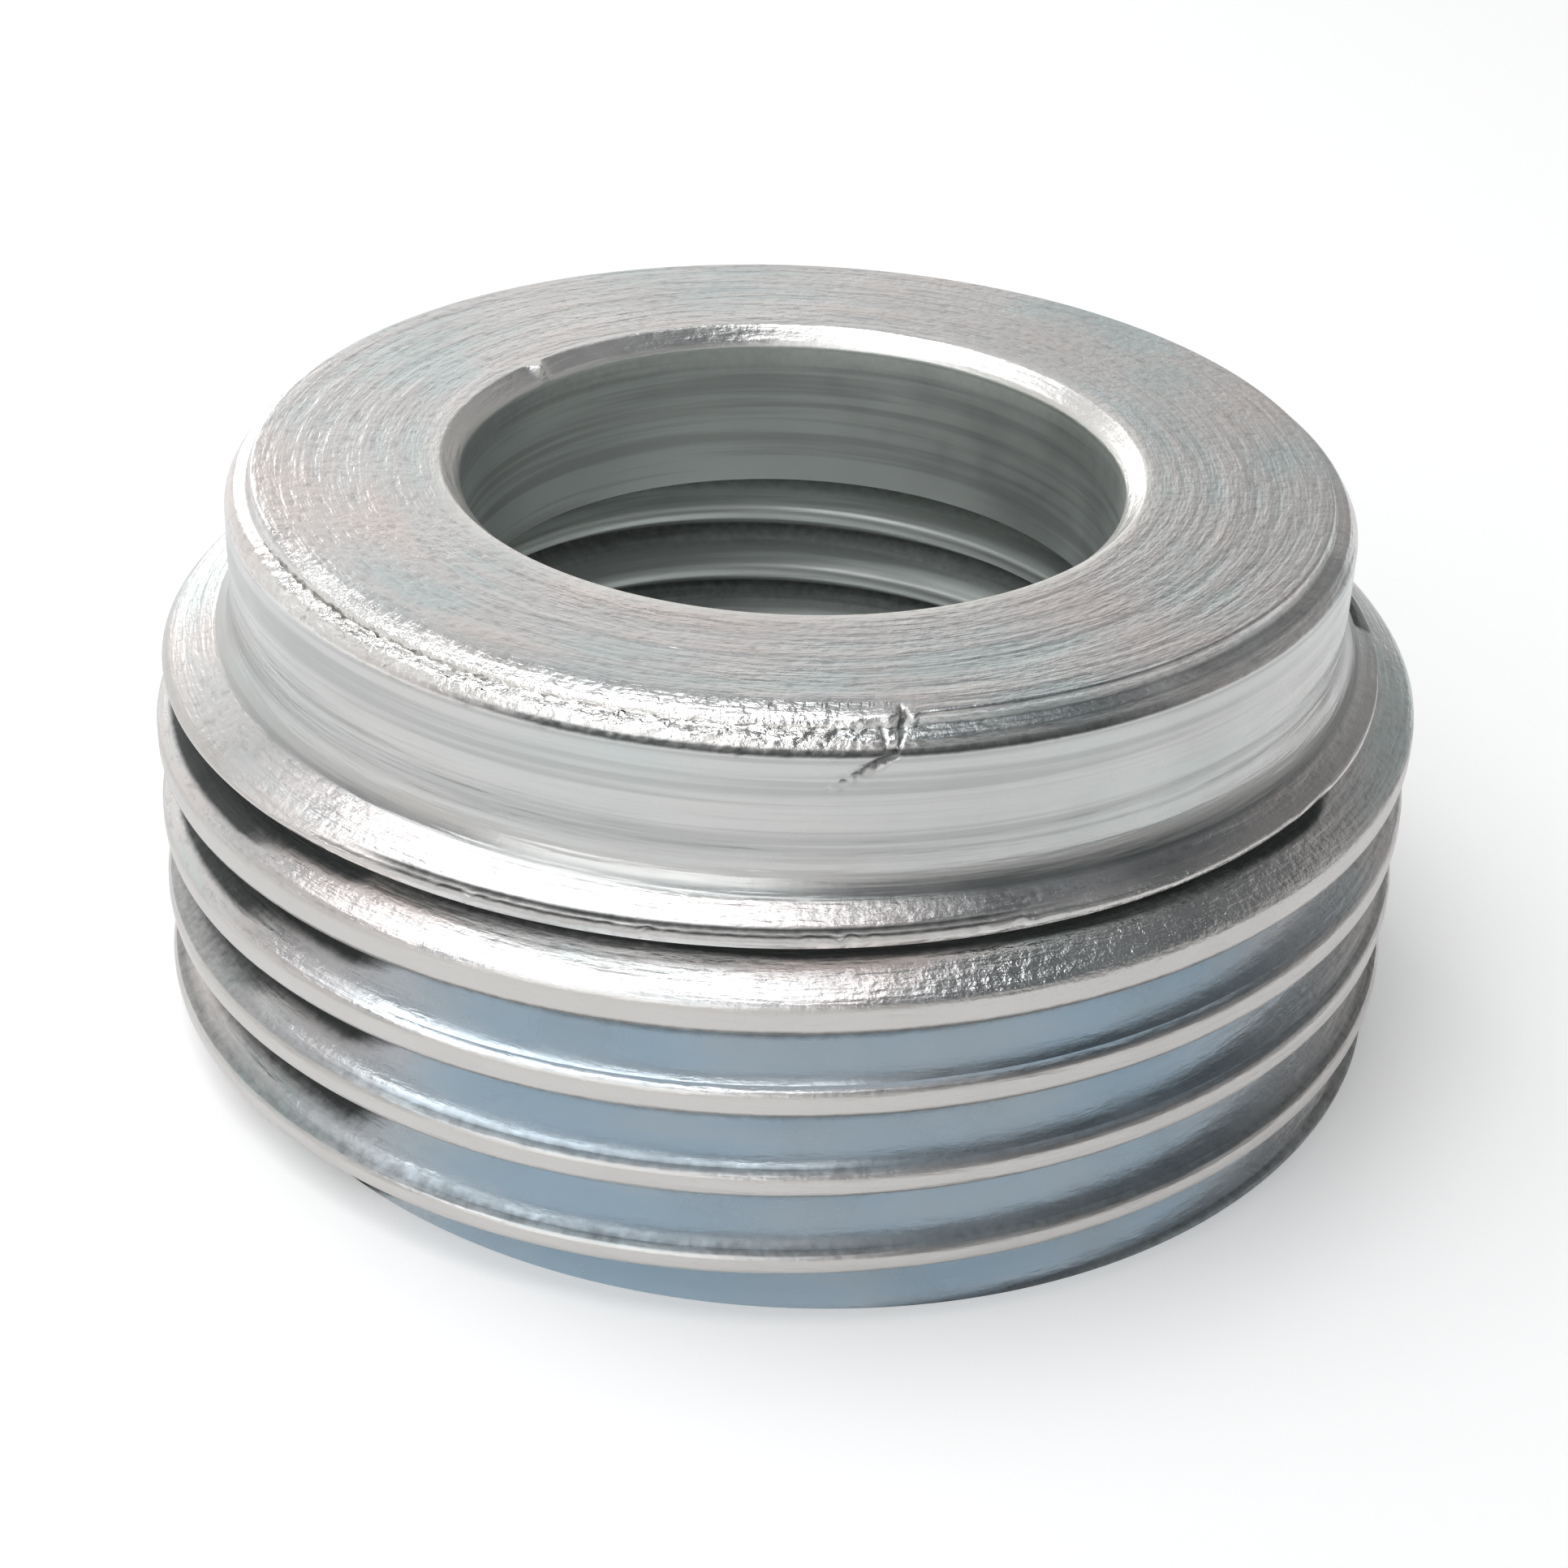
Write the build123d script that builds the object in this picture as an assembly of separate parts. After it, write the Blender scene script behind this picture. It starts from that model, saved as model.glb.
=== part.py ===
from build123d import *

import math
import os

# Conduit reducer turned from one steel bar: it screws into a 1 in hub by its tapered male thread
# and takes a 1/2 in conduit in its bore. Millimetres, +Z from the threaded end to the collar,
# origin at the centre of the threaded end, -Y towards the nick in the rim.

# Male thread: pitch and taper of the trade thread, cut with a V tool whose depth is given at
# its topmost full turn
pitch = 25.4 / 11.5
threadTaper = 1 / 32
flankAngle = 30
maleCrestDiameter = 31.9
maleDepth = 1.3
firstGrooveBelowTop = 5.03
maleEndChamfer = 0.35

# Bore for the inner conduit, across the crests of its 1/2 in thread
femaleCrestDiameter = 18.16
femaleEndChamfer = 0.9

# Body: the collar is set in from the crests of the male thread
overallLength = 14.4
collarSetback = 1.97
collarRadius = maleCrestDiameter / 2 - collarSetback
shoulderStart = 3.8
shoulderSlope = 28
shoulderFillet = 0.9
shoulderEdgeAcross = 0.35
shoulderEdgeDown = 0.42

# Rim of the collar: a steep edge, a narrow ledge and a second steep edge, each across and down
rimStepAcross = 0.1
rimStepDown = 0.3
rimLedgeAcross = 0.32
rimLedgeDown = 0.08
rimFootAcross = 0.23
rimFootDown = 0.35

# Throat that stops the inner conduit
throatRadius = 8.25
throatDepth = 4.4
mouthChamfer = 0.48

# Nick across the rim: its V section, and where it starts on the collar and leaves the face
nickDepth = 0.08
nickStandOff = 0.5
nickOpening = 0.58
nickFootAcross = 1.25
nickFootDown = 1.3
nickHeadAcross = 2.45
nickHeadInside = 0.5

# How far the thread cutter stands out of the crests, so that its turns stay apart
cutterMargin = 0.3


def atRadius(radius, below):
    """Point of the turned profile, given its radius and how far it lies below the collar's face."""
    return (radius, overallLength - below)


def turnedBlank():
    """The bar as it is turned and bored, before any thread is cut."""
    maleRadius = maleCrestDiameter / 2
    femaleRadius = femaleCrestDiameter / 2
    slope = math.tan(math.radians(shoulderSlope))
    rimFoot = rimStepDown + rimLedgeDown + rimFootDown
    ledgeRadius = collarRadius - rimFootAcross
    stepRadius = ledgeRadius - rimLedgeAcross
    faceRadius = stepRadius - rimStepAcross
    shoulderRadius = maleRadius - shoulderEdgeAcross
    shoulderEnd = shoulderStart + (shoulderRadius - collarRadius) * slope
    shoulderRoot = atRadius(collarRadius, shoulderStart)
    profile = Polyline(
        atRadius(throatRadius + mouthChamfer, 0),
        atRadius(faceRadius, 0),
        atRadius(stepRadius, rimStepDown),
        atRadius(ledgeRadius, rimStepDown + rimLedgeDown),
        atRadius(collarRadius, rimFoot),
        shoulderRoot,
        atRadius(shoulderRadius, shoulderEnd),
        atRadius(maleRadius, shoulderEnd + shoulderEdgeDown),
        (maleRadius, maleEndChamfer),
        (maleRadius - maleEndChamfer, 0),
        (femaleRadius + femaleEndChamfer, 0),
        (femaleRadius, femaleEndChamfer),
        atRadius(femaleRadius, throatDepth),
        atRadius(throatRadius, throatDepth),
        atRadius(throatRadius, mouthChamfer),
        close=True,
    )
    section = make_face(profile)
    corner = section.vertices().sort_by_distance(Vector(*shoulderRoot, 0))[0]
    section = fillet(corner, shoulderFillet)
    return revolve(Plane.XZ * section, Axis.Z)


def threadGroove(rootRadius, openRadius, start, height):
    """Helical V groove that rises from the height start, with its open side at openRadius."""
    halfOpen = (openRadius - rootRadius) * math.tan(math.radians(flankAngle))
    coneAngle = math.degrees(math.atan(threadTaper))
    corners = [
        (rootRadius, start),
        (openRadius, start + halfOpen),
        (openRadius, start - halfOpen),
    ]
    rails = [
        Edge.make_helix(pitch, height, radius, (0, 0, z), (0, 0, 1), coneAngle)
        for radius, z in corners
    ]
    sides = [
        Face.make_surface_from_curves(rails[i], rails[(i + 1) % 3])
        for i in range(3)
    ]
    ends = [
        Face(Wire.make_polygon([rail.position_at(place) for rail in rails], close=True))
        for place in (0, 1)
    ]
    return Solid(Shell(sides + ends))


def maleGroove():
    """Groove of the male thread, from below the threaded end to where it leaves the shoulder."""
    frontTurn = 0.75
    crestRadius = maleCrestDiameter / 2
    frontHeight = overallLength - firstGrooveBelowTop
    turnsBelow = math.ceil((frontHeight + pitch) / pitch)
    start = frontHeight - (frontTurn + turnsBelow) * pitch
    turnsAbove = 0.55
    height = (frontTurn + turnsBelow + turnsAbove) * pitch
    rootRadius = crestRadius - maleDepth - (frontHeight - start) * threadTaper
    openRadius = crestRadius + cutterMargin
    return threadGroove(rootRadius, openRadius, start, height)


def frontPoint(across, radius, below):
    """Point on the front of the body, so far to the right, at this radius and below the face."""
    return Vector(across, -math.sqrt(radius**2 - across**2), overallLength - below)


def rimNick():
    """Slanting V-shaped nick that crosses the rim of the collar at the front."""
    rimAcross = rimStepAcross + rimLedgeAcross + rimFootAcross
    foot = frontPoint(nickFootAcross, collarRadius, nickFootDown)
    head = frontPoint(nickHeadAcross, collarRadius - rimAcross - nickHeadInside, 0)
    run = head - foot
    notch = Polyline(
        (0, nickDepth),
        (nickOpening / 2, -nickStandOff),
        (-nickOpening / 2, -nickStandOff),
        close=True,
    )
    section = Plane(foot, x_dir=run.cross(foot), z_dir=run) * make_face(notch)
    return extrude(section, run.length)


reducer = turnedBlank() - maleGroove() - rimNick()

os.makedirs("parts", exist_ok=True)
export_step(reducer, "parts/reducer_body.step")
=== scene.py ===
import math

import bmesh
import bpy
import numpy as np
from mathutils import Matrix, Vector


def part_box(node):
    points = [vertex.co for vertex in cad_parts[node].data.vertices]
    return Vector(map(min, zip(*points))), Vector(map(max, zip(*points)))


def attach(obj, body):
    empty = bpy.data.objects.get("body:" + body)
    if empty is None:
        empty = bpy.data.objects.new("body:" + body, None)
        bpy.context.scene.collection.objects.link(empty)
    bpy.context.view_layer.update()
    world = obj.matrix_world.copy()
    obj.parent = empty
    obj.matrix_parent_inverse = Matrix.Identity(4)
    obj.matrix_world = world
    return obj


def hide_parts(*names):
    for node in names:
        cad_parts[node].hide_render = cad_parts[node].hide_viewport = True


# Zinc plated conduit reducer. Lengths in the dictionaries are millimetres, angles are degrees
# round the axis: 270 is the front, and the threads rise as the angle grows.

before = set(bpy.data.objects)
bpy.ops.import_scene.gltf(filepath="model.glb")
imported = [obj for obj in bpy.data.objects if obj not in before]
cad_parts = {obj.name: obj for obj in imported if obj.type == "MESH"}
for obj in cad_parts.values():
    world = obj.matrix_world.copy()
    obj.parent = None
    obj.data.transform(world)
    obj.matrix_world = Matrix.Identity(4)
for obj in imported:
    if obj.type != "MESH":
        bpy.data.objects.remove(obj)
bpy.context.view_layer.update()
mm = 0.001
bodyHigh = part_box("reducer_body")[1]
overallLength = bodyHigh.z / mm
crestRadius = bodyHigh.x / mm
print("frame loaded, length", round(overallLength, 2), "crest radius", round(crestRadius, 2))


collar = {
    "radius": 13.98,
    "shoulderStart": 3.8,      # below the face
    "shoulderSlope": 28,
    "fillet": 0.9,
    "edgeAcross": 0.35,        # steep edge between the shoulder and the thread's crests
    "edgeDown": 0.42,
    # across and down, from the edge of the face
    "rimSteps": [(0.0, 0.0), (0.1, 0.3), (0.32, 0.08), (0.23, 0.35)],
    "rimInside": 12.9,         # the rim's marks stay outside this radius
    "edgeRound": 0.06,
}

maleThread = {
    "pitch": 25.4 / 11.5,
    "taper": 1 / 32,
    "depth": 1.3,
    "grooveBelowFace": 5.03,   # groove centre at the front
    "grooveAngle": 270,
    "rootRound": 0.035,
    "edgeRound": 0.2,
    "edgeOffsets": (-0.12, -0.04, 0.05, 0.15),   # rows of the mesh beside the groove's edges
    "flankShares": (0.33, 0.67),
    "endChamfer": 0.35,
    "runOutAngle": 60,         # the top groove cuts the shoulder from this angle on
    "turns": (-4, 2),          # of the mesh, from and to, counted from the top groove
}

femaleThread = {
    "pitch": 25.4 / 14,
    "crestRadius": 9.08,
    "depth": 1.25,
    "grooveBelowFace": 4.95,   # groove centre at the far wall
    "grooveAngle": 90,
    "rootRound": 0.03,
    "edgeRound": 0.15,
    "edgeOffsets": (-0.04, 0.04),
    "flankShares": (0.5,),
    "endChamfer": 0.9,
    "turns": (-6, 1),
}

throat = {"radius": 8.25, "depth": 4.4, "mouthChamfer": 0.48}

# Marks of machining and handling
wear = {
    # burr rolled up along the top groove's upper edge, and how it comes and goes round the axis
    "lipHeight": 0.15,
    "lipIn": 0.16,
    "lipUneven": 0.16,
    "lipAngles": [222, 238, 288, 302, 322, 336],
    "lipAmounts": [0, 1, 1, 0.4, 0.35, 0],
    # heights below and above that edge, and how far each moves up and in, as shares
    "lipBelow": [-0.12, -0.04, 0],
    "lipRows": [0.015, 0.03, 0.05, 0.075, 0.1, 0.14, 0.18, 0.22, 0.28],
    "lipUp": [0, -0.4, -0.6, 0.3, 0.8, 1.0, 0.83, 0.4, 0.07, -0.13, -0.07, 0],
    "lipShift": [0, 0.75, 1, 0.81, 0.69, 0.62, 0.62, 0.62, 0.5, 0.25, 0.12, 0],
    # torn metal along the rim, round a depth below the face
    "burrHeight": 0.045,
    "burrShares": (0.6, 0.4),   # of it outwards and upwards
    "burrSpan": (203, 285),
    "burrFade": 12,
    "burrDepth": 0.36,
    "burrReach": 0.4,
    # the face's outer edge, rolled down between two radii
    "rollDepth": 0.2,
    "rollRadii": (12.7, 13.33),
    "rollEase": 1.25,
    # scratches of the nick: angle and height at both ends, then half width and depth
    "scratches": [
        ((274.0, 12.93), (280.1, 13.75), 0.15, 0.15),
        ((280.0, 13.7), (281.2, 14.42), 0.11, 0.17),
        ((279.3, 13.72), (278.9, 14.12), 0.07, 0.08),
    ],
    "scratchFloor": 12.8,       # height, well above the shoulder
    "scratchRadii": (12.95, 13.25),
    "slantHeights": (13.6, 13.9),   # where the cut turns from inwards to partly downwards
    "slant": 0.7,
    # metal pushed up beside it: angle, height, reach along the rim and amount
    "smears": [
        (281.9, 14.28, 0.13, 0.13),
        (276.8, 14.1, 0.42, 0.06),
        (279.6, 14.2, 0.12, 0.08),
    ],
    "smearRise": 0.16,
    # bright burr on the far edge of the bore
    "mouthBurrAngle": 142.8,
    "mouthBurrSize": 0.2,
    "mouthBurrHeight": 0.24,
    "mouthBurrDown": 0.1,
}

# Columns of the mesh round the axis, and how much closer together they are at the marks
meshing = {
    "columns": 384,
    "burrSpan": (200, 292),
    "burrWeight": 2.0,
    "nickSpan": (272, 283),
    "nickWeight": 5.0,
    "mouthBurrReach": 3,
    "lipRowSpan": (160, 352),      # where rows follow the top groove's upper edge
    "lipRowFade": 30,
    # points along each straight of the turned profile, and how they are packed
    "wall": (13, -1.7),
    "rimStep": (3,),
    "face": (20, 1.8),
    "mouth": (4,),
    "throat": (7,),
    "floorShares": (0.25, 0.5, 0.75),
    "endShares": (0.1, 0.3, 0.5, 0.7, 0.9),
    "joinWithin": 2e-6,            # metres
    "sharpAngle": 50,
}

flankRise = 1 / math.tan(math.radians(30))   # of a 60 degree groove, radius over height
topGroove = overallLength - maleThread["grooveBelowFace"]


# Smaller of two radii, with the corner between them rounded
def softMin(a, b, rounding):
    blend = np.clip(0.5 + 0.5 * (b - a) / rounding, 0, 1)
    return b * (1 - blend) + a * blend - rounding * blend * (1 - blend)


def softMax(a, b, rounding):
    return -softMin(-a, -b, rounding)


def smoothStep(value, start, end):
    share = np.clip((value - start) / (end - start), 0, 1)
    return share * share * (3 - 2 * share)


# Rises over the first two values of the band and falls over the last two
def bandMask(value, band):
    return smoothStep(value, band[0], band[1]) * (1 - smoothStep(value, band[2], band[3]))


def spanMask(angles, span, fade):
    return np.clip((angles - span[0]) / fade, 0, 1) * np.clip((span[1] - angles) / fade, 0, 1)


# Repeatable roughness round the axis, a sum of sine waves from the slowest up
def ripple(angles, seed, slowest, count):
    total = 0 * angles
    for i in range(count):
        speed = slowest + int(slowest * 0.37 * i) + i
        total = total + np.sin(np.radians(angles) * speed + seed * (1.7 + i * i))
    return total / count ** 0.5 / 1.2


# Angles of the mesh's columns, closer together at the torn rim, the nick and the mouth's burr
def columnAngles():
    fine = np.linspace(0, 360, 7201)
    density = np.ones_like(fine)
    for span, weight in (("burrSpan", "burrWeight"), ("nickSpan", "nickWeight")):
        low, high = meshing[span]
        density += meshing[weight] * ((fine > low) & (fine < high))
    atMouthBurr = np.abs(fine - wear["mouthBurrAngle"]) < meshing["mouthBurrReach"]
    density += meshing["nickWeight"] * atMouthBurr
    total = np.concatenate([[0], np.cumsum((density[1:] + density[:-1]) / 2)])
    wanted = np.linspace(0, total[-1], meshing["columns"] + 1)[:-1]
    return np.interp(wanted, total, fine)


# Radius of the turned outside, with no thread in it, from the threaded end up to the fillet
def outsideProfile():
    slope = math.tan(math.radians(collar["shoulderSlope"]))
    shoulderTop = overallLength - collar["shoulderStart"]
    tangent = collar["fillet"] * math.tan(math.radians(90 - collar["shoulderSlope"]) / 2)
    filletAcross = tangent * math.cos(math.radians(collar["shoulderSlope"]))
    edgeRadius = crestRadius - collar["edgeAcross"]
    edgeTop = shoulderTop - (edgeRadius - collar["radius"]) * slope
    filletRadius = collar["radius"] + filletAcross
    filletHeight = shoulderTop - filletAcross * slope
    heights = [0, maleThread["endChamfer"], edgeTop - collar["edgeDown"], edgeTop, filletHeight]
    endRadius = crestRadius - maleThread["endChamfer"]
    radii = [endRadius, crestRadius, crestRadius, edgeRadius, filletRadius]
    return np.array(heights), np.array(radii)


def outsideRadius(height):
    return np.interp(height, *outsideProfile())


# Radius at the bottom of the male grooves
def maleRoot(height):
    return crestRadius - maleThread["depth"] + (height - topGroove) * maleThread["taper"]


# Height where one flank of a groove leaves the turned surface, found by halving a bit less than
# half a turn. A groove that misses the surface gives its centre.
def flankHeight(centre, rootRadius, surface, outward, pitch, side):
    near = np.zeros_like(centre)
    far = np.full_like(centre, pitch * 0.49)
    for _ in range(30):
        middle = (near + far) / 2
        flank = rootRadius + outward * middle * flankRise
        inside = outward * (flank - surface(centre + side * middle)) < 0
        near = np.where(inside, middle, near)
        far = np.where(inside, far, middle)
    missed = outward * (rootRadius - surface(centre)) >= 0
    return centre + side * np.where(missed, 0, near)


# Sorted heights of a threaded band's rows, and its radius at each, for every column
def threadedBand(angles, thread, firstCentre, rootAt, surface, outward, extra, high):
    pitch = thread["pitch"]
    rise = pitch * (angles - thread["grooveAngle"]) / 360
    centres = [firstCentre + rise + turn * pitch for turn in range(*thread["turns"])]
    rows, lowEdges, highEdges = [], [], []
    for centre in centres + [centres[-1] + pitch]:
        rootRadius = rootAt(centre)
        lowEdges.append(flankHeight(centre, rootRadius, surface, outward, pitch, -1))
        highEdges.append(flankHeight(centre, rootRadius, surface, outward, pitch, 1))
    for index, centre in enumerate(centres):
        lowEdge, highEdge = lowEdges[index], highEdges[index]
        for offset in thread["edgeOffsets"]:
            rows.append(lowEdge - offset)
            rows.append(highEdge + offset)
        for share in thread["flankShares"]:
            rows.append(centre + (lowEdge - centre) * share)
            rows.append(centre + (highEdge - centre) * share)
        rows += [centre - thread["rootRound"], centre, centre + thread["rootRound"]]
        rows.append((highEdge + lowEdges[index + 1]) / 2)
    perTurn = len(rows) // len(centres)
    rows += [height + 0 * angles for height in extra]
    heights = np.sort(np.clip(np.array(rows), 0, high), axis=0)
    radii = surface(heights)
    cut = softMin if outward > 0 else softMax
    for centre in centres:
        away = np.hypot(heights - centre, thread["rootRound"] / 2)
        groove = rootAt(centre) + outward * away * flankRise
        radii = cut(radii, groove, thread["edgeRound"])
    return heights, radii, perTurn


# Height of the top groove's centre, and of its upper edge, which cuts the shoulder
def topEdge(angles):
    pitch = maleThread["pitch"]
    centre = topGroove + pitch * (angles - maleThread["grooveAngle"]) / 360
    return centre, flankHeight(centre, maleRoot(centre), outsideRadius, 1, pitch, 1)


# Rows at the end chamfer, the steep edge and the slope, and those of the lip, which close up at
# the fillet where there is no lip
def outerBand(angles):
    edgeLow, edgeHigh, high = outsideProfile()[0][2:]
    extra = [0, 0.15, 0.3, 0.35, 0.42]
    extra += [edgeLow - 0.05, edgeLow, edgeLow + 0.05, (edgeLow + edgeHigh) / 2]
    extra += [edgeHigh - 0.04, edgeHigh, edgeHigh + 0.05]
    extra += [high - 0.36, high - 0.24, high - 0.12, high]
    near = spanMask(angles, meshing["lipRowSpan"], meshing["lipRowFade"])
    edge = topEdge(angles)[1]
    extra += [high + (np.minimum(edge + above, high) - high) * near for above in wear["lipRows"]]
    return threadedBand(angles, maleThread, topGroove, maleRoot, outsideRadius, 1, extra, high)


def innerBand(angles):
    firstCentre = overallLength - femaleThread["grooveBelowFace"]
    high = overallLength - throat["depth"]
    chamfer = femaleThread["endChamfer"]

    def surface(height):
        return femaleThread["crestRadius"] + np.clip(chamfer - height, 0, chamfer)

    def rootAt(centre):
        return femaleThread["crestRadius"] + femaleThread["depth"] + 0 * centre

    extra = [0, 0.3, 0.6, chamfer - 0.05, chamfer, chamfer + 0.05, high]
    return threadedBand(angles, femaleThread, firstCentre, rootAt, surface, -1, extra, high)


# Points along a straight stretch of the turned profile. An ease above 1 packs them at its start,
# and one below -1 packs them at its end.
def stretch(start, end, count, ease=1.0):
    shares = [i / count for i in range(1, count + 1)]
    shares = [k ** ease if ease > 0 else 1 - (1 - k) ** -ease for k in shares]
    across, up = end[0] - start[0], end[1] - start[1]
    return [(start[0] + across * k, start[1] + up * k) for k in shares]


# Path through the corners with each rounded, and a count and ease of points for each straight
def roundedPath(corners, rounding, spans):
    points = [corners[0]]
    for i in range(1, len(corners) - 1):
        before, corner, after = (Vector(corners[i + k]) for k in (-1, 0, 1))
        cut = min(rounding, (corner - before).length * 0.45, (after - corner).length * 0.45)
        enter = corner + (before - corner).normalized() * cut
        leave = corner + (after - corner).normalized() * cut
        points += stretch(points[-1], tuple(enter), *spans[i - 1])
        for share in (0.33, 0.67, 1.0):
            rest = 1 - share
            point = enter * rest ** 2 + corner * 2 * share * rest + leave * share ** 2
            points.append(tuple(point))
    return points + stretch(points[-1], corners[-1], *spans[-1])


# Turned profile from the shoulder's fillet over the collar and face to the throat's lower end
def turnedPoints():
    radius, fillet = collar["radius"], collar["fillet"]
    sweep = 90 - collar["shoulderSlope"]
    shoulderTop = overallLength - collar["shoulderStart"]
    filletTop = shoulderTop + fillet * math.tan(math.radians(sweep) / 2)
    arc = []
    for i in range(1, 8):
        turn = math.radians(180 - sweep * (1 - i / 7))
        across = radius + fillet + fillet * math.cos(turn)
        arc.append((across, filletTop - fillet * math.sin(turn)))
    corners = []
    across = radius - sum(step[0] for step in collar["rimSteps"])
    down = 0
    for stepAcross, stepDown in collar["rimSteps"]:
        across += stepAcross
        down += stepDown
        corners.append((across, overallLength - down))
    corners.reverse()
    mouth = throat["radius"] + throat["mouthChamfer"]
    path = [arc[-1]] + corners + [
        (mouth, overallLength),
        (throat["radius"], overallLength - throat["mouthChamfer"]),
        (throat["radius"], overallLength - throat["depth"]),
    ]
    spans = [meshing["wall"]] + [meshing["rimStep"]] * (len(corners) - 1)
    spans += [meshing["face"], meshing["mouth"], meshing["throat"]]
    return arc + roundedPath(path, collar["edgeRound"], spans)[1:]


# Quads between neighbouring columns. The last column meets the first one turn up or down the
# thread, so there each row is joined to the one that seam gives.
def ringFaces(columns, rows, seam):
    faces = []
    for column in range(columns):
        last = column == columns - 1
        for row in range(rows):
            above = (row + 1) % rows
            a, b = row * columns + column, above * columns + column
            if last:
                c, d = int(seam[above]) * columns, int(seam[row]) * columns
            else:
                c, d = b + 1, a + 1
            faces.append((a, d, c, b))
    return faces


# Body as one closed ring of points for each column: up the outside, over the rim and face, down
# the bore and back under the threaded end
def reducerMesh():
    angles = columnAngles()
    columns = len(angles)
    outerHeights, outerRadii, outerShift = outerBand(angles)
    innerHeights, innerRadii, innerShift = innerBand(angles)
    turned = turnedPoints()
    ones = np.ones(columns)
    turnedRadii = np.array([point[0] for point in turned])[:, None] * ones
    turnedHeights = np.array([point[1] for point in turned])[:, None] * ones
    floorShares = np.array(meshing["floorShares"])[:, None]
    floorRadii = throat["radius"] + (innerRadii[-1] - throat["radius"]) * floorShares
    floorHeights = 0 * floorRadii + overallLength - throat["depth"]
    endShares = np.array(meshing["endShares"])[:, None]
    endRadii = innerRadii[0] + (outerRadii[0] - innerRadii[0]) * endShares
    radii = np.concatenate([outerRadii, turnedRadii, floorRadii, innerRadii[::-1], endRadii])
    heights = [outerHeights, turnedHeights, floorHeights, innerHeights[::-1], 0 * endRadii]
    heights = np.concatenate(heights)
    outerRows, innerRows, rows = len(outerRadii), len(innerRadii), len(radii)
    innerStart = outerRows + len(turned) + len(floorShares)
    seam = np.arange(rows)
    seam[:outerRows] = np.minimum(seam[:outerRows] + outerShift, outerRows - 1)
    inner = slice(innerStart, innerStart + innerRows)
    seam[inner] = np.maximum(seam[inner] - innerShift, innerStart)

    radii, heights = workedSurface(radii, heights, angles, outerRows, len(turned))
    radii, heights, nicked = cutNick(radii, heights, angles)
    theta = np.radians(angles)
    points = np.stack([radii * np.cos(theta), radii * np.sin(theta), heights], axis=-1) * mm
    mesh = bpy.data.meshes.new("reducerBody")
    mesh.from_pydata(points.reshape(-1, 3).tolist(), [], ringFaces(columns, rows, seam))
    masks = surfaceMasks(radii, heights, angles, outerRows, innerStart, innerRows)
    # Painted shade in the nick's cut
    masks["grime"] = np.maximum(masks["grime"], nicked * shades["nick"])
    for name, mask in masks.items():
        layer = mesh.attributes.new(name, "FLOAT", "POINT")
        layer.data.foreach_set("value", mask.reshape(-1).astype(np.float32))
    return mesh


# The lip over the top groove, the rolled and torn rim, and the burr in the bore's mouth
def workedSurface(radii, heights, angles, outerRows, turnedRows):
    radii, heights = radii.copy(), heights.copy()
    edge = topEdge(angles)[1]
    amount = np.interp(angles, wear["lipAngles"], wear["lipAmounts"])
    amount = amount * (0.85 + wear["lipUneven"] * ripple(angles, 3.1, 60, 8))
    above = heights[:outerRows] - edge
    places = wear["lipBelow"] + wear["lipRows"]
    radii[:outerRows] -= wear["lipIn"] * amount * np.interp(above, places, wear["lipShift"])
    heights[:outerRows] += wear["lipHeight"] * amount * np.interp(above, places, wear["lipUp"])

    rim = slice(outerRows, outerRows + turnedRows)
    depth = overallLength - heights[rim]
    span = spanMask(angles, wear["burrSpan"], wear["burrFade"])
    inside, outside = wear["rollRadii"]
    rolled = np.clip((radii[rim] - inside) / (outside - inside), 0, 1) ** wear["rollEase"]
    heights[rim] -= wear["rollDepth"] * rolled * (depth < 0.3) * span
    onRim = np.clip(1.15 - np.abs(depth - wear["burrDepth"]) / wear["burrReach"], 0, 1)
    onRim = onRim * (radii[rim] > collar["rimInside"]) * wear["burrHeight"] * span
    outwards, upwards = wear["burrShares"]
    for layer in range(3):   # each finer than the last, and slanted more with the depth
        shifted = angles + depth * (9 + 6 * layer)
        radii[rim] += onRim * outwards * ripple(shifted, 5.3 + layer, 70 + 45 * layer, 9)
        heights[rim] += onRim * upwards * ripple(shifted, 1.9 + layer, 60 + 50 * layer, 9)

    across = (angles - wear["mouthBurrAngle"]) / 360 * math.tau * throat["radius"]
    down = overallLength - heights[rim] - wear["mouthBurrDown"]
    inMouth = radii[rim] < throat["radius"] + throat["mouthChamfer"] + 0.3
    lump = np.exp(-(across ** 2 + down ** 2) / wear["mouthBurrSize"] ** 2) * inMouth
    radii[rim] -= wear["mouthBurrHeight"] * lump
    heights[rim] = np.minimum(heights[rim] + wear["mouthBurrHeight"] / 3 * lump, overallLength)
    return radii, heights


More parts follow.
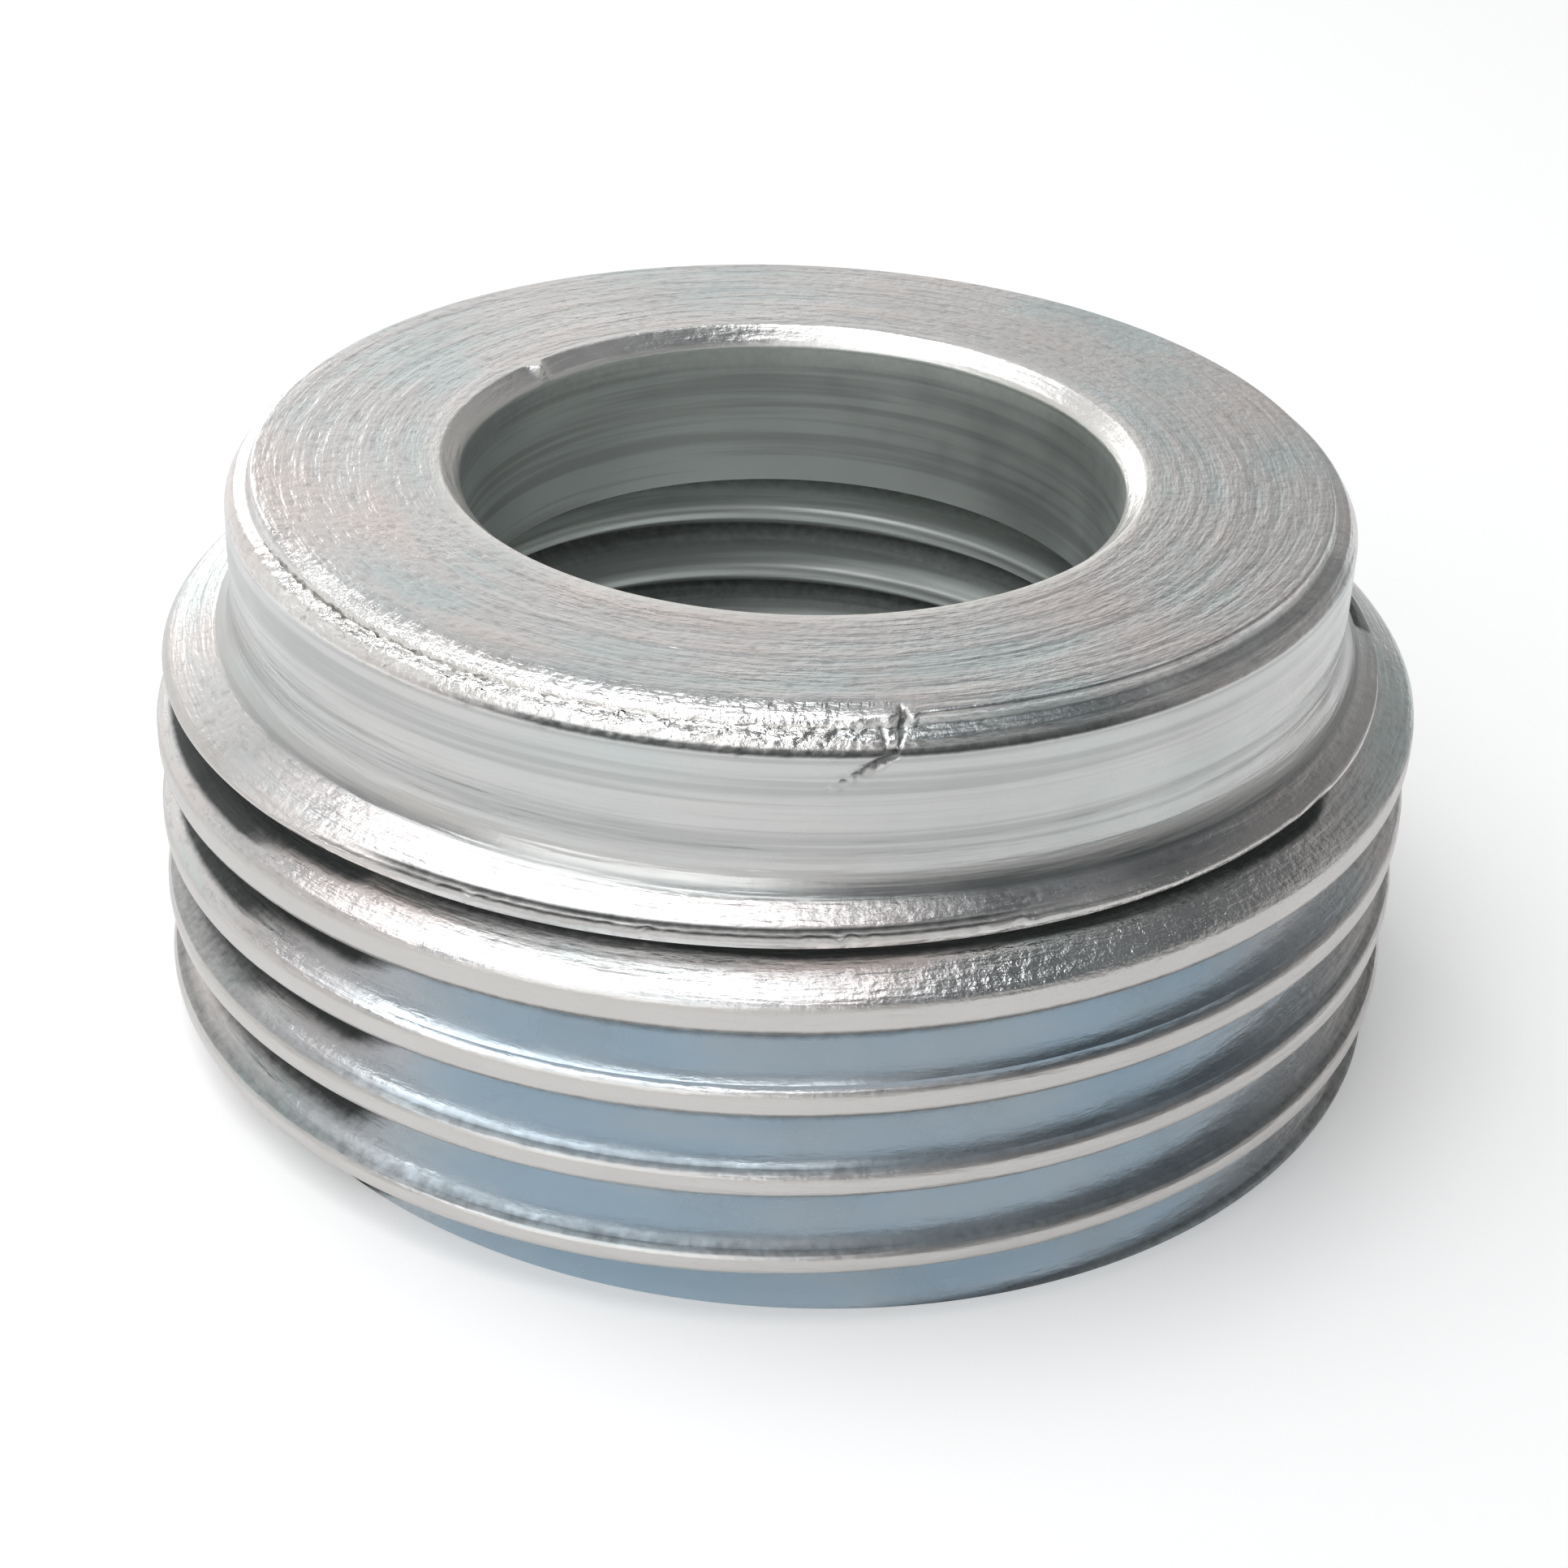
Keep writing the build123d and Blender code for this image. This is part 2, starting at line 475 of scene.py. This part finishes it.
# Nick that slants up the collar and over the rim, with the metal that it pushed up beside it.
# Each scratch starts thin and shallow, and runs a little past its end.
def cutNick(radii, heights, angles):
    radii, heights = radii.copy(), heights.copy()
    onCollar = (radii > collar["rimInside"]) & (radii < collar["radius"] + 0.1)
    onCollar = onCollar & (heights > wear["scratchFloor"])
    toMm = math.radians(1) * collar["radius"]
    slantLow, slantHigh = wear["slantHeights"]
    slant = np.clip((heights - slantLow) / (slantHigh - slantLow), 0, 1) * wear["slant"]
    fade = smoothStep(radii, *wear["scratchRadii"]) * onCollar
    nicked = np.zeros_like(radii)
    for start, end, halfWidth, depth in wear["scratches"]:
        acrossRun, upRun = (end[0] - start[0]) * toMm, end[1] - start[1]
        length = math.hypot(acrossRun, upRun)
        across, up = (angles - start[0]) * toMm + 0 * heights, heights - start[1]
        along = (across * acrossRun + up * upRun) / length
        side = np.abs(across * upRun - up * acrossRun) / length
        width = halfWidth * np.clip(0.25 + along / length, 0.05, 1)
        cut = np.clip(1 - side / width, 0, 1) * (along > -0.03) * (along < length + 0.06) * fade
        cut = cut * depth * np.clip(0.3 + along / length, 0, 1)
        radii -= cut * (1 - slant * 0.5)
        heights -= cut * slant
        nicked = np.maximum(nicked, np.clip(cut / 0.05, 0, 1))
    for angle, height, reach, amount in wear["smears"]:
        gap = np.hypot((angles - angle) * toMm / reach, (heights - height) / wear["smearRise"])
        radii += amount * np.exp(-gap ** 2) * fade
    return radii, heights, nicked


# Painted shade, a painted reflection and highlight, and rubbed and torn places. A shade runs from
# 0 to 1. A band gives the two places between which its mask rises, then the two between which it
# falls. A span is in degrees.
shades = {
    # painted shadow in the top groove and, at the left, in all of them: how far above the root it
    # reaches
    "topAngles": [195, 205, 240, 262, 285, 308, 325, 335],
    "topReach": [0, 0.45, 0.42, 0.3, 0.27, 0.42, 0.5, 0],
    "topEnd": (0.8, 0.9),                        # below the groove's centre
    "leftAngles": [150, 170, 216, 222, 229, 237, 244],
    "leftReach": [0, 1.0, 1.0, 0.85, 0.6, 0.25, 0],
    "blackFade": 0.3,
    "blackest": 0.8,
    # painted shade at the roots and under the crests, with bands in turns of the thread from 0 at
    # a root
    "root": 0.6,
    "rootReach": (0.16, 0.36),                   # above the root
    "underCrest": (0.27, 0.31, 0.38, 0.47),
    # painted shade over the upper edges of the lower crests, and the feet of the flanks above
    # them: band, then distances below the top groove and the shade at each
    "edges": [
        ((0.585, 0.625, 0.715, 0.765), [4.0, 4.4, 6.2, 6.6], [0, 0.53, 0.53, 0.58]),
        ((0.68, 0.712, 0.715, 0.765), [2, 2.2, 4, 4.2], [0, 0.25, 0.25, 0.62]),
    ],
    # painted shade on the lip over the top groove and at its foot, by height above the groove's
    # edge
    "lip": 0.42,
    "lipBand": (-0.01, 0.02, 0.16, 0.24),
    "lipFoot": 0.75,
    "lipFootAt": 0.2,
    "lipFootReach": 0.07,
    "lipRub": 0.7,
    "lipRubBand": (0.0, 0.03, 0.2, 0.27),
    # rubbed crests, up to the shoulder's edge, and the painted blue reflection on the flanks, by
    # depth below the crests
    "crestRub": (0.03, 0.1),
    "crestTop": (9.0, 9.3),
    "blue": (0.05, 0.14),
    "blueStart": (0.75, 0.95),                   # below the top groove
    "blueSpan": (218, 338),
    "blueFade": 26,
    # torn metal in the top groove
    "torn": 0.7,
    "tornBand": (-0.6, -0.4, 0.8, 1.0),
    "tornDepth": (0.8, 1.1),
    "tornSpan": (281, 330),
    "tornFade": 8,
    # painted shade in the rim's crease, on its ledge and over its steps, then the collar wall, by
    # distance below the face
    "crease": 0.8,
    "creaseAt": 0.65,
    "creaseReach": 0.12,
    "ledge": 0.25,
    "ledgeAt": 0.33,
    "ledgeReach": 0.06,
    "creaseSpan": (205, 345),
    "creaseFade": 45,
    "steps": 0.47,
    "stepsBand": (0.06, 0.15, 0.7, 0.8),
    "stepsSpan": (281, 352),
    "stepsFade": 10,
    "wall": (0.7, 0.8),
    # bore: painted highlight on the mouth's chamfer, painted shade below the mouth and in the
    # female grooves, by distance below the face
    "bore": (0.35, 0.55),
    "mouth": (0.5, 0.6),
    "mouthRadii": (8.8, 9.0),
    "mouthBelow": 0.5,
    "mouthBelowBand": (0.4, 0.6, 0.8, 1.7),
    "femaleGroove": 0.55,
    "femaleGrooveDepth": (0.1, 0.9),
    # painted shade in the nick's cut
    "nick": 0.62,
}


# The mesh carries a mask of each kind, which the steel's colour and roughness read
maskNames = ("grime", "crestRub", "blueFlank", "torn", "bore", "wall", "mouth")


# Where the grooved outside looks different: painted shade in the roots and grooves, rubbed crests,
# a painted blue reflection on the flanks, torn metal
def threadMasks(radii, heights, angles):
    depth = crestRadius - radii
    aboveRoot = radii - maleRoot(heights)
    centre, edge = topEdge(angles)
    below, above = centre - heights, heights - edge
    onTop = angles > maleThread["runOutAngle"]
    phase = -below / maleThread["pitch"]
    phase = phase - np.floor(phase)   # 0 at the root, 0.34 to 0.66 on the crest

    # Painted shadow, black where this passes 0.55, the middle of the steel's shadeRange
    black = np.interp(angles, shades["topAngles"], shades["topReach"])
    black = black * (1 - smoothStep(below, *shades["topEnd"])) * onTop
    black = np.maximum(black, np.interp(angles, shades["leftAngles"], shades["leftReach"]))
    grime = np.clip(0.55 + (black - aboveRoot) / shades["blackFade"], -0.5, shades["blackest"])
    # Painted shade near the roots and under the crests
    dim = 1 - smoothStep(aboveRoot, *shades["rootReach"])
    dim = np.maximum(dim, bandMask(phase, shades["underCrest"]))
    grime = np.maximum(grime, shades["root"] * dim)
    # Painted shade over the upper edges of the lower crests and the feet of the flanks above them
    for band, places, amounts in shades["edges"]:
        grime = np.maximum(grime, np.interp(below, places, amounts) * bandMask(phase, band))
    grime *= np.where(onTop, smoothStep(0.02 - above, 0, 0.04), 1)   # nothing above the edge

    # Painted shade at the lip's foot and on the lip
    lip = np.interp(angles, wear["lipAngles"], wear["lipAmounts"]) * onTop
    foot = np.exp(-((above - shades["lipFootAt"]) / shades["lipFootReach"]) ** 2)
    grime = np.maximum(grime, shades["lipFoot"] * foot * lip)
    grime = np.maximum(grime, shades["lip"] * bandMask(above, shades["lipBand"]) * lip)

    crest = 1 - smoothStep(depth, *shades["crestRub"])
    crest = crest * (1 - smoothStep(heights, *shades["crestTop"]))
    lipRub = shades["lipRub"] * bandMask(above, shades["lipRubBand"]) * onTop
    # Painted blue reflection on the flanks at the front
    blue = smoothStep(depth, *shades["blue"]) * smoothStep(below, *shades["blueStart"])
    blue = blue * spanMask(angles, shades["blueSpan"], shades["blueFade"])
    torn = bandMask(below, shades["tornBand"]) * (1 - smoothStep(depth, *shades["tornDepth"]))
    torn = torn * shades["torn"] * onTop * spanMask(angles, shades["tornSpan"], shades["tornFade"])
    return {"grime": grime, "crestRub": np.maximum(crest, lipRub), "blueFlank": blue, "torn": torn}


# Where the turned parts look different: painted shade below the bore's mouth, in the rim's crease
# and over its steps, the collar wall, a painted highlight on the mouth's chamfer, and the throat
def turnedMasks(radii, heights, angles):
    down = overallLength - heights
    inBore = radii < femaleThread["crestRadius"] + 0.22
    onRim = radii > collar["rimInside"]
    # Painted shade below the bore's mouth, in the rim's crease and on its ledge, and over the
    # rim's steps
    grime = shades["mouthBelow"] * bandMask(down, shades["mouthBelowBand"]) * inBore
    crease = np.exp(-((down - shades["creaseAt"]) / shades["creaseReach"]) ** 2)
    ledge = np.exp(-((down - shades["ledgeAt"]) / shades["ledgeReach"]) ** 2)
    crease = shades["crease"] * (crease + shades["ledge"] * ledge) * onRim
    crease = crease * spanMask(angles, shades["creaseSpan"], shades["creaseFade"])
    steps = shades["steps"] * bandMask(down, shades["stepsBand"]) * onRim
    steps = steps * spanMask(angles, shades["stepsSpan"], shades["stepsFade"])
    torn = np.clip(1.3 - np.abs(down - wear["burrDepth"]) / wear["burrReach"], 0, 1) * onRim
    # Painted highlight on the mouth's chamfer
    mouth = 1 - smoothStep(radii, *shades["mouthRadii"])
    onWall = (np.abs(radii - collar["radius"]) < 0.6) * onRim
    return {
        "grime": np.maximum(grime, np.maximum(crease, steps)),
        "torn": torn * spanMask(angles, wear["burrSpan"], wear["burrFade"]),
        "bore": smoothStep(down, *shades["bore"]) * inBore,
        "wall": smoothStep(down, *shades["wall"]) * onWall,
        "mouth": mouth * (1 - smoothStep(down, *shades["mouth"])),
    }


def surfaceMasks(radii, heights, angles, outerRows, innerStart, innerRows):
    masks = {name: np.zeros_like(radii) for name in maskNames}
    bands = ((slice(0, outerRows), threadMasks), (slice(outerRows, innerStart), turnedMasks))
    for rows, find in bands:
        for name, mask in find(radii[rows], heights[rows], angles).items():
            masks[name][rows] = mask
    inner = slice(innerStart, innerStart + innerRows)
    # Painted shade in the female grooves
    grooved = smoothStep(radii[inner] - femaleThread["crestRadius"], *shades["femaleGrooveDepth"])
    masks["grime"][inner] = shades["femaleGroove"] * grooved
    masks["bore"][inner] = 1
    return masks


# Joins what coincides at the bands' ends, and shades the mesh smooth up to its sharp edges
def finishMesh(mesh):
    work = bmesh.new()
    work.from_mesh(mesh)
    bmesh.ops.remove_doubles(work, verts=work.verts, dist=meshing["joinWithin"])
    bmesh.ops.dissolve_degenerate(work, edges=work.edges, dist=meshing["joinWithin"] / 2)
    bmesh.ops.recalc_face_normals(work, faces=work.faces)
    openEdges = sum(len(edge.link_faces) != 2 for edge in work.edges)
    print("open edges", openEdges, "triangles", sum(len(face.verts) - 2 for face in work.faces))
    work.to_mesh(mesh)
    work.free()
    for polygon in mesh.polygons:
        polygon.use_smooth = True
    mesh.set_sharp_from_angle(angle=math.radians(meshing["sharpAngle"]))


camera = {
    "lens": 70.84,
    "sensor": 36,
    "distance": 81.29,
    "elevation": 30.01,
    "roll": -2.29,
    "lookAt": (0.085, 0.0, 4.969),
}


def addCamera():
    data = bpy.data.cameras.new("camera")
    data.lens = camera["lens"]
    data.sensor_width = camera["sensor"]
    data.clip_start = 0.001
    rise, roll = math.radians(camera["elevation"]), math.radians(camera["roll"])
    right = Vector((1, 0, 0))
    up = Vector((0, math.sin(rise), math.cos(rise)))
    back = Vector((0, -math.cos(rise), math.sin(rise)))
    turnedRight = right * math.cos(roll) - up * math.sin(roll)
    turnedUp = right * math.sin(roll) + up * math.cos(roll)
    place = (Vector(camera["lookAt"]) + back * camera["distance"]) * mm
    matrix = Matrix((turnedRight, turnedUp, back)).transposed().to_4x4()
    matrix.translation = place
    thing = bpy.data.objects.new("camera", data)
    bpy.context.scene.collection.objects.link(thing)
    thing.matrix_world = matrix
    bpy.context.scene.camera = thing


finish = {
    "steel": (0.69, 0.685, 0.68),
    "coolTint": (0.60, 0.68, 0.68),
    "warmTint": (0.74, 0.68, 0.66),
    # painted blue-grey reflection on the flanks
    "flankReflectionBlue": (0.515, 0.595, 0.655),
    "flankReflectionGrey": (0.575, 0.615, 0.645),
    "crestPale": (0.58, 0.565, 0.55),
    # pale of torn metal, and the painted highlight on the mouth's chamfer
    "tornAndHighlightPale": (0.84, 0.83, 0.81),
    "wallTint": (0.50, 0.515, 0.507),
    "wallShare": 0.7,
    "lineShade": (0.36, 0.37, 0.365),
    "boreShade": (0.60, 0.64, 0.62),
    "markShade": (0.42, 0.42, 0.42),
    # colour of the painted shade
    "grimeDark": (0.10, 0.105, 0.105),
    # ranges of noise, from and to, and the tint's share at each end
    "warmRange": (0.5, 0.62, 0, 0.8),
    "coolRange": (0.5, 0.38, 0, 0.9),
    "grainRange": (0.5, 0.36, 0, 0.5),
    "greyRange": (0.42, 0.6, 0, 0.8),
    "lineRange": (0.56, 0.4, 0, 0.6),
    "shadeRange": (0.3, 0.8, 0, 1),
    "shadeJitter": 0.22,
    # turning marks: lines per metre and breakup; clouds of the plating: scale and detail
    "coarse": (1900, 1.6),
    "fine": (6500, 18),
    "rings": (2400, 0.5),
    "cloud": (330, 4),
    "tint": (150, 2),
    "speckle": (3600, 3),
    # roughness, and what each place adds to it
    "roughness": 0.3,
    "roughClouds": 0.4,
    "roughFlank": -0.06,
    "roughCrest": 0.12,
    "roughInShade": 0.4,
    "roughBore": 0.2,
    "roughMouth": 0.08,
    "markDepth": 0.00006,       # metres
}


def link(tree, source, target):
    tree.links.new(source, target)


def mathNode(tree, operation, first, second=None):
    node = tree.nodes.new("ShaderNodeMath")
    node.operation = operation
    for socket, value in zip(node.inputs, (first, second)):
        if value is None:
            continue
        if isinstance(value, (int, float)):
            socket.default_value = value
        else:
            link(tree, value, socket)
    return node.outputs[0]


def times(tree, first, second):
    return mathNode(tree, "MULTIPLY", first, second)


def plus(tree, first, second):
    return mathNode(tree, "ADD", first, second)


# One less the value
def without(tree, value):
    return mathNode(tree, "SUBTRACT", 1, value)


def mixColor(tree, factor, first, second):
    node = tree.nodes.new("ShaderNodeMix")
    node.data_type = "RGBA"
    for index, value in ((0, factor), (6, first), (7, second)):
        socket = node.inputs[index]
        if isinstance(value, tuple):
            socket.default_value = value + (1,)
        elif isinstance(value, (int, float)):
            socket.default_value = value
        else:
            link(tree, value, socket)
    return node.outputs[2]


def mapRange(tree, value, fromLow, fromHigh, toLow, toHigh):
    node = tree.nodes.new("ShaderNodeMapRange")
    node.interpolation_type = "SMOOTHSTEP"
    link(tree, value, node.inputs[0])
    for index, number in enumerate((fromLow, fromHigh, toLow, toHigh)):
        node.inputs[index + 1].default_value = number
    return node.outputs[0]


def newGroup(name, inputs, outputs):
    group = bpy.data.node_groups.new(name, "ShaderNodeTree")
    for label, value in inputs:
        socket = group.interface.new_socket(label, in_out="INPUT", socket_type="NodeSocketFloat")
        socket.default_value = value
    for label in outputs:
        group.interface.new_socket(label, in_out="OUTPUT", socket_type="NodeSocketFloat")
    return group, group.nodes.new("NodeGroupInput"), group.nodes.new("NodeGroupOutput")


# Streaks that run round the axis, as a lathe leaves them
def turningMarksGroup():
    inputs = [("Lines per metre", 2500), ("Breakup", 3)]
    group, given, result = newGroup("turningMarks", inputs, ["Height"])
    place = group.nodes.new("ShaderNodeTexCoord")
    parts = group.nodes.new("ShaderNodeSeparateXYZ")
    link(group, place.outputs["Object"], parts.inputs[0])
    x, y, z = parts.outputs
    radius = mathNode(group, "SQRT", plus(group, times(group, x, x), times(group, y, y)))
    across = times(group, radius, given.outputs["Lines per metre"])
    up = times(group, z, given.outputs["Lines per metre"])
    cosine = times(group, mathNode(group, "DIVIDE", x, radius), given.outputs["Breakup"])
    sine = times(group, mathNode(group, "DIVIDE", y, radius), given.outputs["Breakup"])
    point = group.nodes.new("ShaderNodeCombineXYZ")
    for socket, value in zip(point.inputs, (across, up, cosine)):
        link(group, value, socket)
    noise = group.nodes.new("ShaderNodeTexNoise")
    noise.noise_dimensions = "4D"
    noise.inputs["Scale"].default_value = 1
    noise.inputs["Detail"].default_value = 3
    noise.inputs["Roughness"].default_value = 0.6
    link(group, point.outputs[0], noise.inputs["Vector"])
    link(group, sine, noise.inputs["W"])
    link(group, noise.outputs[0], result.inputs["Height"])
    return group


# Cloudy patches and fine speckle in the plating
def platingGroup():
    inputs = [("Scale", 400), ("Detail", 4)]
    group, given, result = newGroup("platingClouds", inputs, ["Cloud"])
    place = group.nodes.new("ShaderNodeTexCoord")
    noise = group.nodes.new("ShaderNodeTexNoise")
    noise.inputs["Roughness"].default_value = 0.6
    link(group, place.outputs["Object"], noise.inputs["Vector"])
    link(group, given.outputs["Scale"], noise.inputs["Scale"])
    link(group, given.outputs["Detail"], noise.inputs["Detail"])
    link(group, noise.outputs[0], result.inputs["Cloud"])
    return group


# Places a group, with values for its inputs in their order
def useGroup(tree, group, values):
    node = tree.nodes.new("ShaderNodeGroup")
    node.node_tree = group
    for socket, value in zip(node.inputs, values):
        socket.default_value = value
    return node.outputs[0]


def attribute(tree, name):
    node = tree.nodes.new("ShaderNodeAttribute")
    node.attribute_name = name
    return node.outputs["Fac"]


def zincPlatedSteel(marks, clouds):
    material = bpy.data.materials.new("zincPlatedSteel")
    material.use_nodes = True
    tree = material.node_tree
    shader = tree.nodes["Principled BSDF"]
    shader.inputs["Metallic"].default_value = 1
    coarse, fine, rings = (
        useGroup(tree, marks, finish[name]) for name in ("coarse", "fine", "rings"))
    cloud, tint, speckle = (
        useGroup(tree, clouds, finish[name]) for name in ("cloud", "tint", "speckle"))
    grime, crest, flank, torn, bore, wall, mouth = (attribute(tree, name) for name in maskNames)
    plain = without(tree, mathNode(tree, "MAXIMUM", flank, bore))
    grainy = without(tree, mathNode(tree, "MAXIMUM", times(tree, wall, 0.8), bore))

    # Colour: cool and warm bands that follow the turning marks and broad patches
    bands = plus(tree, times(tree, tint, 0.6), times(tree, coarse, 0.4))
    warm = mapRange(tree, bands, *finish["warmRange"])
    color = mixColor(tree, warm, finish["steel"], finish["warmTint"])
    color = mixColor(tree, mapRange(tree, bands, *finish["coolRange"]), color, finish["coolTint"])
    grain = plus(tree, times(tree, fine, 0.55), times(tree, speckle, 0.45))
    dark = times(tree, mapRange(tree, grain, *finish["grainRange"]), grainy)
    color = mixColor(tree, dark, color, finish["markShade"])
    color = mixColor(tree, times(tree, wall, finish["wallShare"]), color, finish["wallTint"])
    # Painted blue-grey reflection on the flanks
    grey = mapRange(tree, bands, *finish["greyRange"])
    blue = mixColor(tree, grey, finish["flankReflectionBlue"], finish["flankReflectionGrey"])
    color = mixColor(tree, flank, color, blue)
    # Pale torn metal, and a painted highlight on the mouth's chamfer
    color = mixColor(tree, mathNode(tree, "MAXIMUM", torn, mouth), color, finish["tornAndHighlightPale"])
    color = mixColor(tree, bore, color, finish["boreShade"])
    lines = mapRange(tree, rings, *finish["lineRange"])
    lines = times(tree, lines, mathNode(tree, "MAXIMUM", wall, bore))
    color = mixColor(tree, lines, color, finish["lineShade"])
    color = mixColor(tree, crest, color, finish["crestPale"])
    # Painted shade: the colour goes dark where the painted shade mask is high, with speckled edges
    jitter = times(tree, mathNode(tree, "SUBTRACT", speckle, 0.5), finish["shadeJitter"])
    shadeAmount = mapRange(tree, plus(tree, grime, jitter), *finish["shadeRange"])
    color = mixColor(tree, shadeAmount, color, finish["grimeDark"])
    link(tree, color, shader.inputs["Base Color"])

    # Roughness: satin with clouds, duller on the crests, where shade is painted and in the bore
    rough = times(tree, mathNode(tree, "SUBTRACT", cloud, 0.5), finish["roughClouds"])
    rough = plus(tree, rough, finish["roughness"])
    places = {
        "roughFlank": flank,
        "roughCrest": crest,
        "roughInShade": shadeAmount,
        "roughBore": bore,
        "roughMouth": mouth,
    }
    for name, place in places.items():
        rough = plus(tree, rough, times(tree, place, finish[name]))
    link(tree, rough, shader.inputs["Roughness"])

    # Relief: turning marks, pitted plating, and coarse tears where the metal is torn
    height = times(tree, coarse, times(tree, plain, 1.3))
    small = times(tree, plus(tree, times(tree, fine, 0.4), times(tree, speckle, 0.3)), grainy)
    small = times(tree, small, without(tree, times(tree, flank, 0.75)))
    tears = times(tree, times(tree, torn, speckle), 0.9)
    height = plus(tree, plus(tree, height, small), tears)
    bump = tree.nodes.new("ShaderNodeBump")
    bump.inputs["Strength"].default_value = 1
    bump.inputs["Distance"].default_value = finish["markDepth"]
    link(tree, height, bump.inputs["Height"])
    link(tree, bump.outputs[0], shader.inputs["Normal"])
    return material


studio = {
    "floorColor": (0.95, 0.95, 0.95),
    "floorRoughness": 0.9,
    "floorLift": 0.2,           # added where the camera or a reflection sees the floor
    "floorHalf": 3,             # metres
    "level": 0.85,
    # levels of the room: direction from and to, then the level at each
    "right": (-0.1, 0.6, 1, 0.52),
    "overhead": (0.33, 0.8, 1, 0.2),
    "behind": (-0.02, 0.2, 1.2, 0.8),
    "behindStart": (0.3, 0.7, 0, 1),
    "topTint": (0.45, 0.95, 0, 1),
    "topColor": (0.80, 0.90, 1.0),
    "sideColor": (1.0, 0.985, 0.97),
    # lamps, in metres and watts: place, point aimed at, width, height and power
    "lamps": {
        "overheadSoftbox": ((-0.13, 0.025, 0.34), (-0.13, 0.025, 0), 0.34, 0.29, 0.8),
        "frontSoftbox": ((-0.13, -0.25, 0.24), (0, 0, 0.01), 0.3, 0.24, 0.3),
        "rearStrip": ((-0.17, 0.35, 0.13), (0, 0, 0.01), 0.06, 0.2, 0.12),
    },
}


def addFloor():
    mesh = bpy.data.meshes.new("floor")
    half = studio["floorHalf"]
    corners = [(-half, -half, 0), (half, -half, 0), (half, half, 0), (-half, half, 0)]
    mesh.from_pydata(corners, [], [(0, 1, 2, 3)])
    floor = bpy.data.objects.new("floor", mesh)
    bpy.context.scene.collection.objects.link(floor)
    material = bpy.data.materials.new("paleFloor")
    material.use_nodes = True
    tree = material.node_tree
    shader = tree.nodes["Principled BSDF"]
    shader.inputs["Base Color"].default_value = studio["floorColor"] + (1,)
    shader.inputs["Roughness"].default_value = studio["floorRoughness"]
    shader.inputs["Emission Color"].default_value = (1, 1, 1, 1)
    path = tree.nodes.new("ShaderNodeLightPath")
    seen = mathNode(tree, "MAXIMUM", path.outputs["Is Camera Ray"], path.outputs["Is Glossy Ray"])
    link(tree, times(tree, seen, studio["floorLift"]), shader.inputs["Emission Strength"])
    mesh.materials.append(material)


# Room round the object: pale at the sides, dimmer overhead and to the right, white to the camera
def addStudio():
    world = bpy.data.worlds.new("studio")
    bpy.context.scene.world = world
    world.use_nodes = True
    tree = world.node_tree
    place = tree.nodes.new("ShaderNodeTexCoord")
    parts = tree.nodes.new("ShaderNodeSeparateXYZ")
    link(tree, place.outputs["Generated"], parts.inputs[0])
    x, y, z = parts.outputs
    side = mapRange(tree, x, *studio["right"])
    top = mapRange(tree, z, *studio["overhead"])
    behind = mathNode(tree, "SUBTRACT", mapRange(tree, x, *studio["behind"]), 1)
    behind = plus(tree, times(tree, behind, mapRange(tree, y, *studio["behindStart"])), 1)
    level = times(tree, times(tree, times(tree, side, top), studio["level"]), behind)
    high = mapRange(tree, z, *studio["topTint"])
    color = mixColor(tree, high, studio["sideColor"], studio["topColor"])
    seen = tree.nodes.new("ShaderNodeLightPath").outputs["Is Camera Ray"]
    color = mixColor(tree, seen, color, (1.0, 1.0, 1.0))
    level = mathNode(tree, "MAXIMUM", level, seen)
    background = tree.nodes["Background"]
    link(tree, color, background.inputs["Color"])
    link(tree, level, background.inputs["Strength"])
    for name, lamp in studio["lamps"].items():
        addLight(name, *lamp)


def addLight(name, place, aim, width, height, power):
    data = bpy.data.lights.new(name, "AREA")
    data.shape = "RECTANGLE"
    data.size, data.size_y = width, height
    data.energy = power
    light = bpy.data.objects.new(name, data)
    bpy.context.scene.collection.objects.link(light)
    light.location = place
    light.rotation_euler = (Vector(aim) - Vector(place)).to_track_quat("-Z", "Y").to_euler()


addCamera()
print("camera set")
mesh = reducerMesh()
finishMesh(mesh)
body = bpy.data.objects.new("reducer", mesh)
bpy.context.scene.collection.objects.link(body)
mesh.materials.append(zincPlatedSteel(turningMarksGroup(), platingGroup()))
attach(body, "root")
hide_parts("reducer_body")
print("reducer built")

addFloor()
addStudio()
bpy.context.scene.view_settings.view_transform = "Standard"
print("stage lit")
